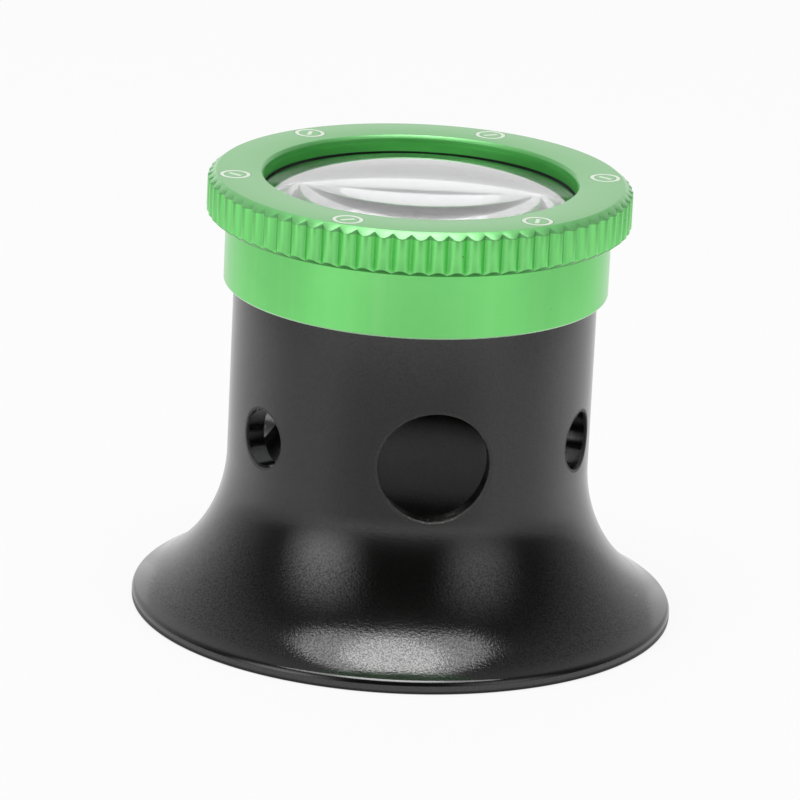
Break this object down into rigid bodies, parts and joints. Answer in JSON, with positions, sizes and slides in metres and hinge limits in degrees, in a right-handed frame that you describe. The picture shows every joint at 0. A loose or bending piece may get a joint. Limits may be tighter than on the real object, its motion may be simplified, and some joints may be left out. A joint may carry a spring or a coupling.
{
  "type": "eye loupe",
  "caption": "Watchmaker's eye loupe: vented black aluminium eyecup with a wide flare, and a knurled green lens head that screws on.",
  "frame": {"origin": "centre of the underside of the rim, on the optical axis", "axes": "+Z along the optical axis, from the eye end towards the lens head; the picture's camera looks along +Y"},
  "size_m": [0.0438, 0.0438, 0.0362],
  "materials": {
    "black_anodised": "satin",
    "green_anodised": "satin",
    "crown_glass": "polished",
    "blackened_aluminium": "matte"
  },
  "bodies": {
    "cup": {"eyecup": "black_anodised"},
    "lens_stack": {"upper_lens": "crown_glass", "spacer_ring": "blackened_aluminium", "lower_lens": "crown_glass"},
    "head": {"lens_ring": "green_anodised", "retaining_ring": "blackened_aluminium"}
  },
  "joints": [
    {"name": "head_rise", "type": "slide", "parent": "cup", "child": "lens_stack", "axis": [0, 0, 1], "range_m": [0, 0.003]},
    {"name": "head_unscrew", "type": "hinge", "parent": "lens_stack", "child": "head", "pos_m": [0, 0, 0.027], "axis": [0, 0, 1], "range_deg": [0, 2160]}
  ],
  "couplings": [
    {"joint": "head_rise", "follows": "head_unscrew", "m_per_rad": 0.000079577}
  ]
}
